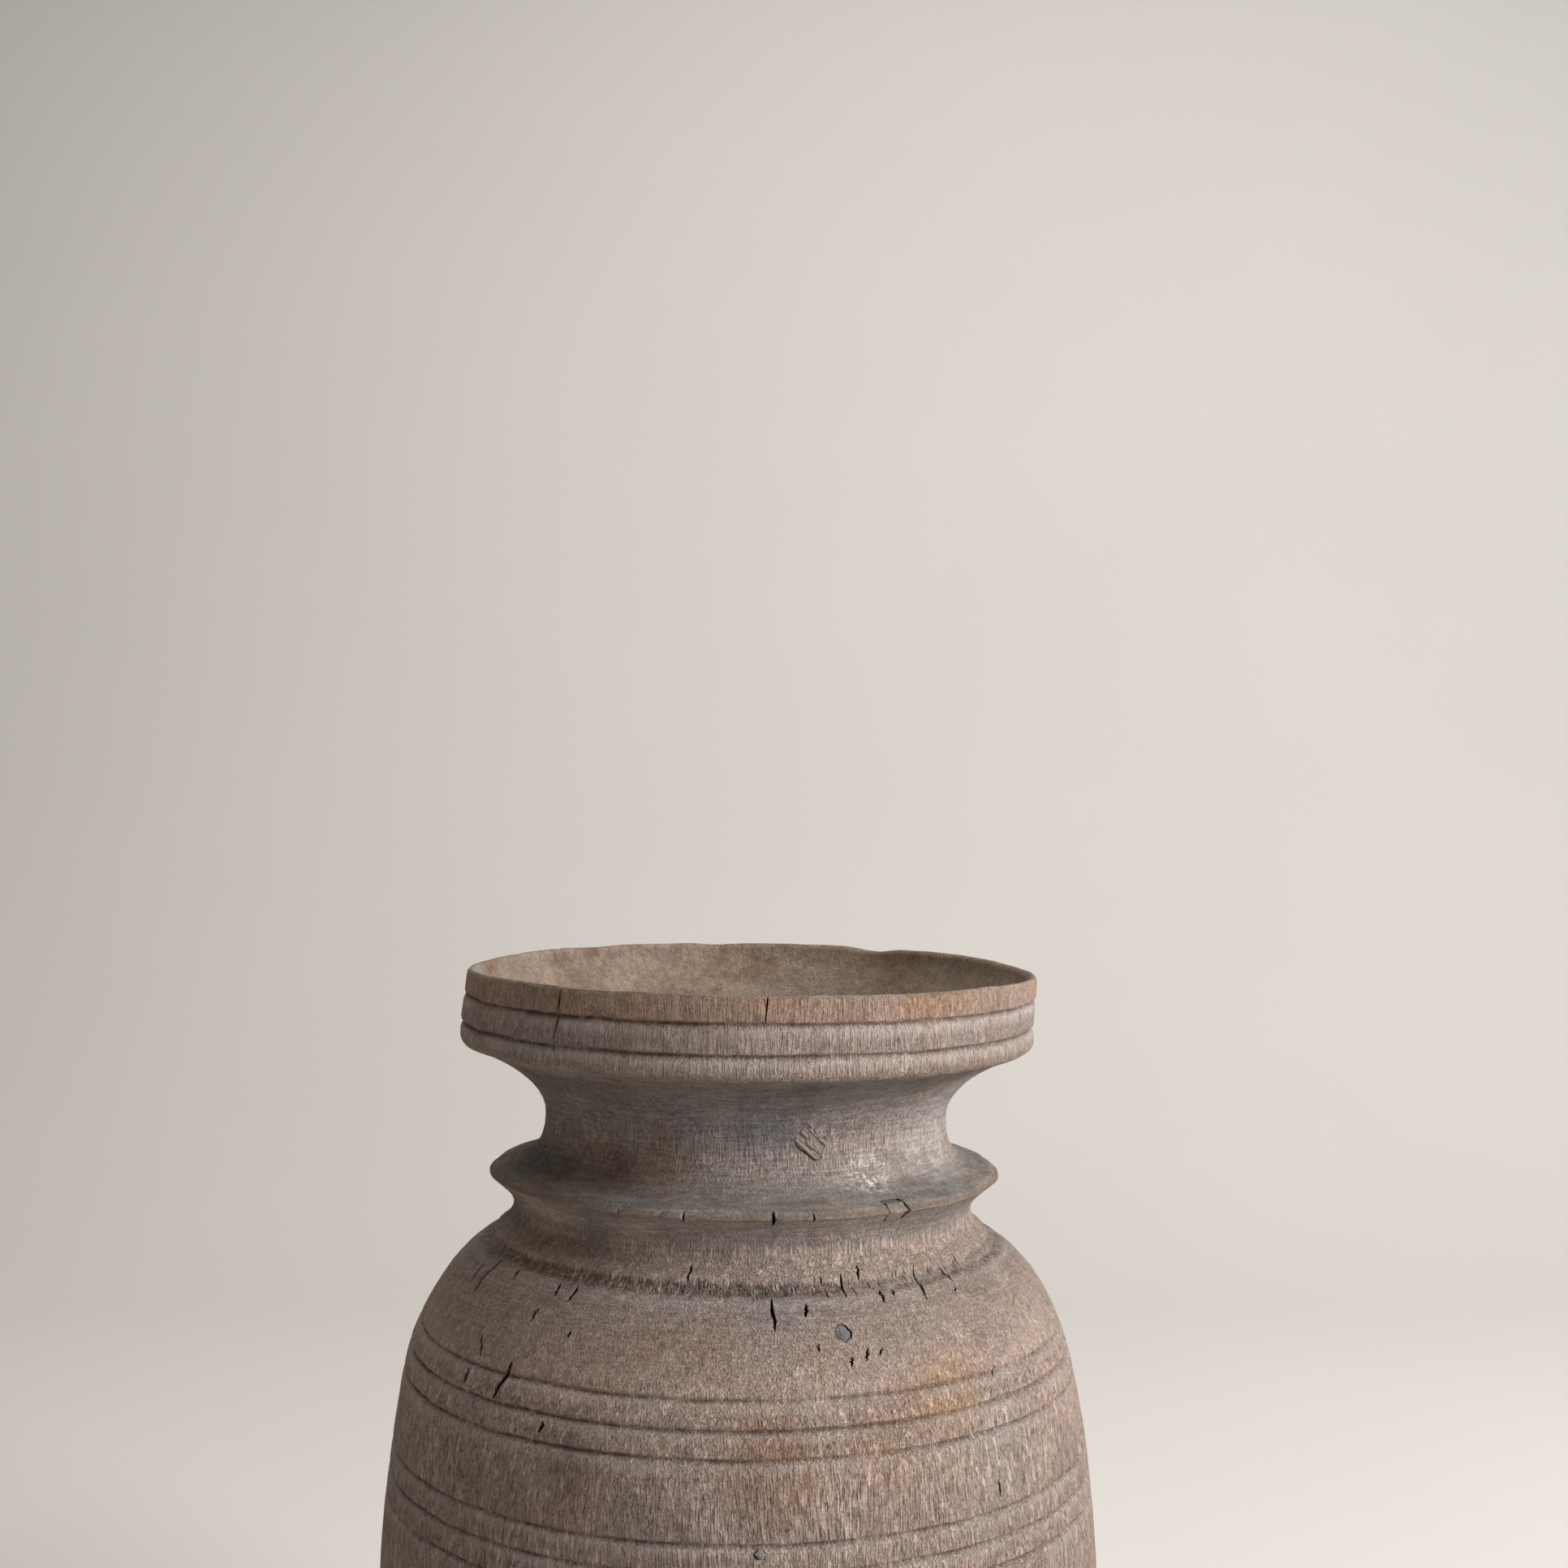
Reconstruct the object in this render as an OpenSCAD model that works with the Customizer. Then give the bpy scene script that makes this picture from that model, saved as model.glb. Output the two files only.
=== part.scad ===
// Turned wooden storage pot: one hollow turning with a dished rim, a necked
// collar and scribed bands, and the dead knots that sit in it as separate plugs.
// Millimetres. Z is up, the origin is the centre of the foot, the front is -Y.

/* [Overall] */
// Height from the foot to the top of the lip
total_h = 380; // [372:2:400]
// Widest radius of the belly
belly_r = 134; // [132:1:140]
// Depth of the widest point below the lip
belly_drop = 236; // [225:1:250]
// Radius of the flat foot, measured where its edge starts to round over
foot_r = 84; // [76:1:92]
// Rounding of the foot's edge
foot_round = 7; // [4:1:10]

/* [Rim dish] */
// Outer radius of the dished rim
rim_r = 107; // [105:0.5:110]
// Height of the band round the dish
rim_band_h = 27; // [25:1:28]
// Thickness of the worn lip
lip_t = 3.4; // [2.6:0.2:4.4]
// Depth of the dish inside, down to the throat
dish_depth = 46; // [42:1:50]

/* [Neck and collar] */
// Smallest radius of the upper neck
neck_r = 75.1; // [74:0.1:77]
// Depth of the upper neck's waist below the lip
neck_drop = 53; // [51:0.5:54]
// Radius of the sharp collar
collar_r = 95.6; // [93:0.2:97]
// Thickness of the collar's edge
collar_edge = 1.8; // [1.4:0.2:3]
// Depth of the collar's edge below the lip
collar_drop = 73.6; // [72.6:0.2:75]
// Smallest radius under the collar
waist_r = 85.5; // [84:0.5:87]

/* [Shoulder] */
// Radius where the shoulder starts, at the torn groove
shoulder_r = 93; // [92:0.5:94]
// Depth of the shoulder's start below the lip
shoulder_drop = 98; // [97:0.5:99]
// Radius where the shoulder turns into the belly
turn_r = 123; // [121:0.5:125]
// Depth of that turn below the lip
turn_drop = 137; // [134:0.5:140]

/* [Hollow] */
// Radius of the throat between the dish and the belly
throat_r = 60; // [54:1:62]
// Wall thickness at the belly
wall_t = 15; // [12:1:17]
// Thickness of the floor
floor_t = 22; // [16:1:28]

/* [Scribed grooves] */
// Width of a scribed V groove
groove_w = 2.2; // [1.6:0.2:3]
// Depth of a scribed V groove
groove_d = 1.1; // [0.6:0.1:1.6]
// Depth below the lip of each group's middle groove on the belly
band_drops = [136, 179, 250];
// Distance between the grooves of one group
band_gap = 8.8; // [8:0.2:10]
// Depths below the lip of the rim's grooves
rim_groove_drops = [9.3, 19.1];

/* [Splits] */
// Width of a drying split at the surface
split_w = 0.8; // [0.5:0.1:1.4]
// How far a split runs into the wood
split_d = 4; // [2:0.5:6]
// Bearings of the splits in the collar's edge, degrees from the front
collar_split_at = [-26, -11.6, 6.9, 15.2, 57];

/* [Knots] */
// Clearance round a dead knot in its socket
knot_gap = 0.25; // [0.15:0.05:0.4]
// Radius of the knot in the upper neck
neck_knot_r = 6; // [4.5:0.5:6.5]
// Bearing of the neck knot, degrees from the front
neck_knot_at = 18.4; // [10:0.2:24]
// Radius of the knot in the collar's edge
collar_knot_r = 4.2; // [3:0.2:5]
// Bearing of the collar knot
collar_knot_at = 33.8; // [28:0.2:40]
// Radius of the knot in the shoulder
shoulder_knot_r = 2.9; // [2:0.1:4]
// Bearing of the shoulder knot
shoulder_knot_at = 19.3; // [15:0.2:30]
// Radius of the pin knot in the belly
belly_knot_r = 1.5; // [1.2:0.1:3]
// Bearing of the belly knot
belly_knot_at = 3.9; // [-10:0.2:14]

/* [Hidden] */
NODES = ["vessel", "neck_knot", "flange_knot", "shoulder_knot", "belly_knot"];
steps = 14;
$fn = 180;
wood = [0.66, 0.55, 0.46];
dark_wood = [0.42, 0.34, 0.29];

// Height of a place given its depth below the lip.
function up(drop) = total_h - drop;

// Points along a cubic curve from a to d, leaving out a itself.
function curve(a, b, c, d, n = steps) =
    [for (i = [1:n]) let (t = i / n, s = 1 - t)
        s * s * s * a + 3 * s * s * t * b + 3 * s * t * t * c + t * t * t * d];

// Points along an arc about c, from angle a0 to a1.
function arc(c, r, a0, a1, n = 6) =
    [for (i = [0:n]) let (a = a0 + (a1 - a0) * i / n)
        c + r * [cos(a), sin(a)]];

// Places where one sweep of the outline meets the next.
foot_side = [foot_r + foot_round * cos(15), foot_round + foot_round * sin(-15)];
widest = [belly_r, up(belly_drop)];
turn = [turn_r, up(turn_drop)];
shoulder = [shoulder_r, up(shoulder_drop)];
waist = [waist_r, up((collar_drop + shoulder_drop) / 2 + 1)];
collar_low = [collar_r, up(collar_drop) - collar_edge / 2];
collar_high = [collar_r, up(collar_drop) + collar_edge / 2];
neck = [neck_r, up(neck_drop)];
dish_low = [rim_r - 5.5, up(rim_band_h + 1.6)];
throat = [throat_r, up(dish_depth)];

belly_line = concat(
    curve(foot_side, foot_side + [16, 24], widest - [0, 58], widest, 20),
    curve(widest, widest + [0, 36], turn - [4.6, 15] + [9.2, 0], turn),
    curve(turn, turn + [-5.4, 18], shoulder + [12, -4], shoulder));

outer_line = concat(
    arc([foot_r, foot_round], foot_round, -90, -15),
    belly_line,
    curve(shoulder, shoulder + [-3, 1.2], waist - [0, 4.5], waist),
    curve(waist, waist + [0, 4.5], collar_low - [5.5, 4.5], collar_low),
    curve(collar_high, collar_high + [-14.5, 2.8], neck - [0, 15], neck),
    curve(neck, neck + [0, 10], dish_low - [13, 5], dish_low),
    arc([rim_r - 3.2, up(rim_band_h - 2.7)], 3.4, -80, 0),
    [[rim_r, up(12)]],
    arc([rim_r - 0.3 - lip_t / 2, up(lip_t / 2)], lip_t / 2, 0, 180));

inner_line = concat(
    curve([rim_r - 0.3 - lip_t, up(lip_t / 2 + 1)],
        [rim_r - 8, up(dish_depth * 0.42)],
        [throat_r + 8, up(dish_depth * 0.72)], throat),
    curve(throat, throat - [0, 26], [throat_r, up(shoulder_drop)],
        [throat_r + 6, up(shoulder_drop + 6)]),
    curve([throat_r + 6, up(shoulder_drop + 6)],
        [turn_r - wall_t - 12, up(turn_drop - 20)],
        [belly_r - wall_t, up(belly_drop - 70)], [belly_r - wall_t, up(belly_drop)]),
    curve([belly_r - wall_t, up(belly_drop)],
        [belly_r - wall_t, up(belly_drop + 62)],
        [foot_r + 12, floor_t + 2], [foot_r - 26, floor_t], 20),
    [[0, floor_t]]);

// Radius of the belly's outside at height z.
function belly_at(z) = lookup(z, [for (p = belly_line) [p[1], p[0]]]);

module outer_form() {
    rotate_extrude() polygon(concat([[0, 0]], outer_line, [[0, total_h - lip_t / 2]]));
}

module hollow_form() {
    rotate_extrude() polygon(concat([[0, 0]], outer_line, inner_line));
}

// A V groove turned into the outside, at radius r and height z.
module groove(r, z, w = groove_w, d = groove_d) {
    rotate_extrude()
        polygon([[r - d, z], [r + 0.6, z - w * 0.7], [r + 0.6, z + w * 0.7]]);
}

// A radial drying split that closes as it runs in, at bearing a.
module split(a, r, z0, z1, w = split_w, d = split_d) {
    rotate([0, 0, a]) translate([0, 0, z0]) linear_extrude(z1 - z0)
        polygon([[-w / 2, -r - 1], [w / 2, -r - 1], [0.1, -r + d], [-0.1, -r + d]]);
}

// A dead knot: a branch stub that narrows as it runs inwards.
module branch(a, r_in, r_out, z, r, grow = 0) {
    rotate([0, 0, a]) translate([0, -r_in, z]) rotate([90, 0, 0])
        cylinder(h = r_out - r_in, r1 = r * 0.72 + grow, r2 = r + grow);
}

module knot_branch(which, grow = 0) {
    if (which == "neck_knot")
        branch(neck_knot_at, neck_r - 9, neck_r + 3, up(neck_drop - 1.2),
            neck_knot_r, grow);
    if (which == "flange_knot")
        branch(collar_knot_at, waist_r - 9, collar_r + 2, up(collar_drop),
            collar_knot_r, grow);
    if (which == "shoulder_knot")
        branch(shoulder_knot_at, shoulder_r, turn_r, up(turn_drop - 28),
            shoulder_knot_r, grow);
    if (which == "belly_knot")
        branch(belly_knot_at, belly_r - 13, belly_r + 3, up(172.7),
            belly_knot_r, grow);
}

module knot(which) {
    intersection() {
        knot_branch(which);
        outer_form();
    }
}

module vessel() {
    color(wood) difference() {
        hollow_form();
        for (drop = rim_groove_drops) groove(rim_r, up(drop), groove_w, groove_d * 1.3);
        groove(shoulder_r - 0.4, up(shoulder_drop - 1.5), groove_w * 1.3, groove_d * 1.5);
        for (middle = band_drops, i = [-1:1])
            groove(belly_at(up(middle + i * band_gap)), up(middle + i * band_gap));
        split(-36, rim_r, up(rim_band_h - 6), total_h + 1);
        split(3.8, rim_r, up(rim_groove_drops[0]), total_h + 1);
        for (a = collar_split_at)
            split(a, collar_r, up(collar_drop + 4), up(collar_drop - 4), split_w * 1.2);
        for (which = NODES) knot_branch(which, knot_gap);
    }
}

module neck_knot() { color(dark_wood) knot("neck_knot"); }
module flange_knot() { color(dark_wood) knot("flange_knot"); }
module shoulder_knot() { color(dark_wood) knot("shoulder_knot"); }
module belly_knot() { color(dark_wood) knot("belly_knot"); }

vessel();
neck_knot();
flange_knot();
shoulder_knot();
belly_knot();
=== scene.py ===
"""Looks for the turned wooden pot: the worn turning and its dead knots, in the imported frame."""

from math import cos, pi, radians, sin

import bmesh
import bpy
import numpy as np
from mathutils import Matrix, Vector
from mathutils.bvhtree import BVHTree


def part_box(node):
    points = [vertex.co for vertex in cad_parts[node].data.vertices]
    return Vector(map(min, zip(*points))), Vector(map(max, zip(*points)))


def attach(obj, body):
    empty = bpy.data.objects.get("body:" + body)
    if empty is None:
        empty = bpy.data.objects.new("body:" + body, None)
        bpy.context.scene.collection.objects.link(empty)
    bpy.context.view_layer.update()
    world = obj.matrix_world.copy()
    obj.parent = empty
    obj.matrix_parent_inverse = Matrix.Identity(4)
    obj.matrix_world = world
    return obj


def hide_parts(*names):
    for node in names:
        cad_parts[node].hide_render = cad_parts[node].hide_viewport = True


MM = 0.001

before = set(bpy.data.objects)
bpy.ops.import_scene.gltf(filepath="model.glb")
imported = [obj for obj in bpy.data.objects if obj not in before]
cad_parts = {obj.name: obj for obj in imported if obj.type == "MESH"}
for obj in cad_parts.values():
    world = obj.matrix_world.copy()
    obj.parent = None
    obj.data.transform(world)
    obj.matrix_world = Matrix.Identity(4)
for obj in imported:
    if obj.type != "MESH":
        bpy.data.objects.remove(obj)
bpy.context.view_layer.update()
top_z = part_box("vessel")[1][2]
cad_vessel = BVHTree.FromObject(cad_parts["vessel"], bpy.context.evaluated_depsgraph_get())
rng = np.random.default_rng(7)


def up(drop):
    """Height in metres of a place given its depth below the lip in millimetres."""
    return top_z - drop * MM


def at_bearing(bearing, r, z):
    """A point at a bearing in degrees, r out from the axis and z up."""
    a = radians(bearing)
    return np.array([r * sin(a), -r * cos(a), z])


def directions(bearing):
    """Unit vectors at a bearing: out from the axis, and level to the right of that."""
    a = radians(bearing)
    return np.array([sin(a), -cos(a), 0]), np.array([cos(a), sin(a), 0])


def add_object(name, data):
    """A new object in the scene."""
    obj = bpy.data.objects.new(name, data)
    bpy.context.collection.objects.link(obj)
    return obj


# ---------------- noise


def lattice(ix, iy, iz, seed):
    """A repeatable random number from -1 to 1 at each whole-number point."""
    h = (ix * 374761393 + iy * 668265263 + iz * 2147483647 + seed * 974711) & 0x7FFFFFFF
    h = ((h ^ (h >> 13)) * 1274126177) & 0x7FFFFFFF
    return ((h ^ (h >> 16)) & 0xFFFF) / 32767.5 - 1.0


def noise(p, seed=0):
    """Smooth noise from -1 to 1 at points p, with features about one unit across."""
    base = np.floor(p).astype(np.int64)
    f = p - base
    f = f * f * (3 - 2 * f)
    total = 0
    for corner in np.ndindex(2, 2, 2):
        weight = 1
        for axis, step in enumerate(corner):
            weight = weight * (f[..., axis] if step else 1 - f[..., axis])
        total = total + weight * lattice(*[base[..., i] + corner[i] for i in range(3)], seed)
    return total


def bump(x, middle, half_width):
    """A smooth hump of height 1 at middle, gone at half_width to each side."""
    t = np.clip(1 - np.abs(x - middle) / half_width, 0, 1)
    return t * t * (3 - 2 * t)


def turn_from(angle, bearing):
    """Signed angle in degrees from bearing, from -180 to 180."""
    return (angle - bearing + 180) % 360 - 180


# ---------------- features
# Bearings are degrees from the front, positive to the right. Drops are
# millimetres below the lip.

# In mm: the rim's radius, how far its lip is rounded, and how far down it is worn.
RIM_R = 107
LIP_ROUND = 1.7
LIP_WEAR = 9
# Scribed grooves: two in the rim band, and three round each middle on the belly.
RIM_GROOVES = (9.3, 19.1)
GROOVE_PITCH = 8.8
BELLY_GROOVES = tuple(m + i * GROOVE_PITCH for m in (136, 179, 250) for i in (-1, 0, 1))
# The torn groove at the shoulder, and the collar's thin edge.
SHOULDER_GROOVE = 96.2
COLLAR_DROP = 73.6
COLLAR_R = 95.6 * MM

# Drying splits in the shoulder and belly: they follow the grain, so each one
# is (bearing, drop at its top, bearing, drop at its foot, width in mm).
SHOULDER_SPLITS = [
    (-60.4, 97.9, -59.5, 110, 0.8), (-52.3, 98.5, -50.2, 102.7, 0.6),
    (-33.3, 99.8, -33.4, 104.6, 0.6), (-38.8, 107.5, -39, 111.5, 0.5),
    (-29.7, 111.8, -29.7, 113.6, 0.5), (-49.1, 118.8, -47.1, 124.7, 0.6),
    (-39.4, 123.5, -41.3, 135.6, 1.2), (-49.1, 128.8, -49.1, 134.3, 0.7),
    (-30.3, 138.2, -30.9, 142.2, 0.7), (-37.8, 99.6, -37, 103.9, 0.5),
    (-10.1, 91.3, -10.3, 96.3, 0.5), (-65, 101.9, -63.2, 107.5, 0.5),
    (41.4, 95, 39, 103.9, 0.9), (49.1, 95.9, 48.9, 101, 0.8),
    (48.4, 102.2, 47, 103.7, 0.5), (22.5, 94.6, 21.9, 100.7, 0.6),
    (29.7, 99.2, 29.4, 103, 0.7), (32.7, 99.7, 32.1, 101.7, 0.5),
    (7, 99.7, 7.1, 108.4, 0.7), (13.4, 101.5, 12.9, 104.9, 0.8),
    (23.1, 114, 22.1, 118, 0.6), (19.9, 116.2, 19.4, 119, 0.6),
    (25.6, 114.4, 25.1, 116.8, 0.5), (14.4, 112, 14.3, 114.5, 0.4),
    (47.7, 125.7, 46.8, 129.4, 0.5), (65, 109.2, 61.4, 112.2, 0.4),
    (27.1, 92.7, 26.6, 96.8, 0.5), (55.5, 94.7, 56.2, 97.8, 0.6),
    (43.9, 160.6, 43.8, 166.5, 0.6), (130, 96, 129, 106, 0.8),
    (-140, 94, -141, 103, 0.7), (172, 118, 171.5, 126, 0.8),
]
# Splits in the rim band, open at the lip: (bearing, drop at the foot, width).
RIM_SPLITS = [(-36.6, 21, 1.7), (3.4, 9.6, 1.7), (150, 12, 1.2)]
# Splits in the collar's thin edge: (bearing, width, depth into the wood).
COLLAR_SPLITS = [
    (-26, 1.5, 3.2), (-16.5, 0.9, 2.2), (-11.6, 1.9, 4), (6.9, 2.7, 4.5),
    (15.2, 1.5, 3.2), (57, 1.3, 3.2), (112, 1.5, 3.6), (-98, 1.3, 3.2),
    (-160, 1.8, 4),
]
# Worn places in the lip: (bearing, how much lower in mm, half width in degrees).
LIP_DIPS = [
    (151.5, 1.9, 9), (-171, 0.8, 7), (94, 1.9, 44), (-92, 1.3, 44), (-140, 0.6, 12),
    (-28, 0.3, 12),
]

# Dead knots: bearing, drop, half width and half height in mm, how much the
# outline leans, how rough and how sunken the face is, the radius its plug goes
# in to, how square the outline is, the gap round it, the extra gap on its open
# side, and where that side is, in degrees round the face.
KNOTS = {
    "neck_knot": dict(at=18.4, drop=51.8, w=5.4, h=5.6, lean=0.6, rough=0.55, sunk=-0.08,
                      inner=67.0, corner=0.45, gap=0.0, wide=0.62, open_side=232),
    "shoulder_knot": dict(at=19.0, drop=109.6, w=2.6, h=2.3, lean=0.2, rough=0.16, sunk=0.3,
                          inner=94.0, corner=0.05, gap=0.16, wide=0.65, open_side=10),
    "belly_knot": dict(at=4.0, drop=173.0, w=1.6, h=1.4, lean=0.3, rough=0.12, sunk=0.25,
                       inner=121.0, corner=0.05, gap=0.14, wide=0.5, open_side=190),
}
# The knot that runs out through the collar's edge is a block the collar's full
# thickness: bearing, half width in degrees, sunk depth, inner radius, the gap on
# each side with the radius it is measured at, and how far its colours spread.
COLLAR_KNOT = dict(at=34.4, half=1.9, sunk=0.2, inner=84.0, left_gap=0.8, right_gap=1.2,
                   gap_r=95, reach=3.4)

# ---------------- outline

READ_BEARING = 187  # at the back, where the CAD wall has no split or knot
CENTRE_R = 0.012  # innermost ring of the foot and of the hollow's floor


def cad_outline(heights, from_axis):
    """The CAD wall's radius at each height, looking in from outside or out from the axis."""
    side = Vector((sin(radians(READ_BEARING)), -cos(radians(READ_BEARING)), 0))
    found = []
    for z in heights:
        start = Vector((0, 0, z)) + (side * 0 if from_axis else side * 0.3)
        hit = cad_vessel.ray_cast(start, side if from_axis else -side)[0]
        found.append((hit - Vector((0, 0, z))).length if hit else np.nan)
    return np.array(found)


def cad_floor_z():
    """Height of the hollow's floor beside the axis."""
    return cad_vessel.ray_cast(Vector((0.001, 0.001, 0.2)), Vector((0, 0, -1)))[0].z


def length_along(r, z):
    """Length along an outline at each of its points."""
    return np.concatenate([[0], np.cumsum(np.hypot(np.diff(r), np.diff(z)))])


def in_groove(z):
    """True where a scribed groove is cut, so that the plain wall can be read beside it."""
    fine, torn = RIM_GROOVES + BELLY_GROOVES, (SHOULDER_GROOVE,)
    drops = np.array(fine + torn)
    half = np.array([2.0] * len(fine) + [4.6] * len(torn))
    return (np.abs((top_z - z)[:, None] / MM - drops) < half).any(axis=1)


def spaced(line, marks, plain_step, tightest=0.3 * MM):
    """Lengths along a line for its rows: the marks' own, and even ones between.

    A mark closer than tightest to the one before it is left out.
    """
    keep, last = [], 0.0
    for s in sorted(set(np.round(marks, 6)) | {round(line[-1], 6)}):
        gap = s - last
        if gap > tightest or not keep:
            n = max(1, int(np.ceil(gap / plain_step)))
            keep += [last + gap * (i + 1) / n for i in range(n)]
            last = s
    return np.array(keep)


def wall_rows():
    """Rows of the outside, from the foot's centre to the lip: radius, height, outward normal."""
    z = np.arange(0.2 * MM, top_z - LIP_ROUND * MM, 0.25 * MM)
    r = cad_outline(z, False)
    plain = ~in_groove(z) & ~np.isnan(r)
    r = np.interp(z, z[plain], r[plain])
    foot = np.linspace(CENTRE_R, r[0], 12)[:-1]
    r = np.concatenate([foot, r])
    z = np.concatenate([np.zeros(len(foot)), z])
    s = length_along(r, z)
    groove_steps = (-2.6, -1.8, -1.1, -0.5, -0.05, 0.35, 0.75, 1.3)
    torn_steps = (-1.8, -1.1, -0.5, 0.1, 0.7, 1.4, 2.1, 2.8, 3.5, 4.2, 5.0)
    collar_steps = (-3.2, -2.2, -1.5, -1.1, -0.75, 0, 0.75, 1.1, 1.6, 2.4, 3.4)
    drops = [groove - step for groove in RIM_GROOVES + BELLY_GROOVES for step in groove_steps]
    drops += [SHOULDER_GROOVE + step for step in torn_steps]
    drops += [COLLAR_DROP + step for step in collar_steps]
    # Under the lip, the turn below the rim band, and the rise to the collar.
    drops += [2, 3.5, 5, 6.5]
    drops += [24, 25, 25.8, 26.5, 27, 27.5, 28, 29, 30, 31]
    drops += [62, 64, 65.5, 66.8, 67.9, 68.8, 69.6]
    rows = spaced(s, [np.interp(up(drop), z, s) for drop in drops], 3.8 * MM)
    ahead, behind = rows + 0.8 * MM, rows - 0.8 * MM
    along = np.stack([np.interp(ahead, s, r) - np.interp(behind, s, r),
                      np.interp(ahead, s, z) - np.interp(behind, s, z)], 1)
    along /= np.linalg.norm(along, axis=1)[:, None]
    normal = np.stack([along[:, 1], -along[:, 0]], 1)
    return np.interp(rows, s, r), np.interp(rows, s, z), normal


def hollow_rows():
    """Rows of the inside, from the lip down to the floor's centre: radius and height."""
    floor_z = cad_floor_z()
    z = np.arange(top_z - 2.8 * MM, floor_z + 0.4 * MM, -0.5 * MM)
    r = cad_outline(z, True)
    z, r = z[~np.isnan(r)], r[~np.isnan(r)]
    s = length_along(r, z)
    dish = np.arange(1.2 * MM, 60 * MM, 2.6 * MM)
    below = np.linspace(62 * MM, s[-1], 34)
    rows = np.concatenate([[0], dish, below])
    r, z = np.interp(rows, s, r), np.interp(rows, s, z)
    inward = np.linspace(r[-1], CENTRE_R, 6)[1:]
    return np.concatenate([r, inward]), np.concatenate([z, np.full(len(inward), floor_z)])


def column_bearings(n=360):
    """Bearings in degrees, closer together at the front than at the back."""
    t = np.linspace(0, 1, 4001)
    density = 1.28 + 0.28 * np.cos(t * 2 * pi)
    run = np.concatenate([[0], np.cumsum((density[1:] + density[:-1]) / 2)])
    return np.interp(np.arange(n) / n * run[-1], run, t) * 360


def settle(p):
    """How the dried log leans and tips: the rings tip to the right and a little forwards."""
    z = p[..., 2]
    lean = np.interp(z, [0.15, 0.245, 0.285, 0.306, 0.328, 0.362, 0.373, 0.38],
                     np.array([0, 0.3, 0.9, 2.1, 2.6, 3.2, 4.6, 5.3]) * MM)
    right = np.interp(z, [0.08, 0.2, 0.3, 0.32], np.radians([0, 0.5, 0.8, 0.85]))
    forward = np.interp(z, [0.29, 0.307, 0.33, 0.352, 0.38], np.radians([0, 0.1, 0.5, 0.55, 0.2]))
    q = p.copy()
    q[..., 0] += lean
    rise = np.interp(z, [0.33, 0.352, 0.38], np.array([0, 0.5, 1.6]) * MM)
    q[..., 2] += p[..., 1] * np.sin(forward) - p[..., 0] * np.sin(right) + rise
    return q


def rings_to_points(angle, r, z):
    """Grid of points for ring rows (r, z) at the bearings in angle."""
    a = np.radians(angle)[None, :]
    return np.stack([r * np.sin(a), -r * np.cos(a), z + 0 * a], -1)


# ---------------- wear


def groove_cut(drop, middle, depth, slope, angle, seed, fading):
    """A scribed groove: a sharp drop under its upper edge, then a long slope back out."""
    spot = np.stack([np.sin(np.radians(angle)) * 9, np.cos(np.radians(angle)) * 9,
                     0 * angle], -1)
    wander = noise(spot, seed) * 0.3 + noise(spot * 5, seed + 1) * 0.12
    wander = wander + noise(spot * 14, seed) * 0.14
    strength = 0.85 + fading * noise(spot * 0.6 + 5, seed + 2) + 0.26 * noise(spot * 9, seed + 3)
    t = drop - middle - wander
    shape = np.where(t < 0, np.clip(1 + t / 0.7, 0, 1), np.clip(1 - t / slope, 0, 1) ** 1.2)
    strength = np.clip(strength, 0.35, 1.3)
    return depth * shape * strength, shape * np.clip(strength, 0, 1)


def lip_height(angle):
    """How far the worn lip stands below its full height, in metres, at each bearing."""
    a = np.radians(angle)
    spot = np.stack([np.sin(a), np.cos(a), 0 * a], -1)
    low = -0.3 + 0.35 * noise(spot * 4, 31) + 0.2 * noise(spot * 16, 32)
    for bearing, depth, half in LIP_DIPS:
        low = low + depth * bump(turn_from(angle, bearing), 0, half)
    return np.clip(low, -1.0, 3) * MM


def worn_down(z, low):
    """Heights near the lip brought down by low: all of it at the lip, none at LIP_WEAR."""
    return z - low * np.clip((z - up(LIP_WEAR)) / (LIP_WEAR * MM), 0, 1)


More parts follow.
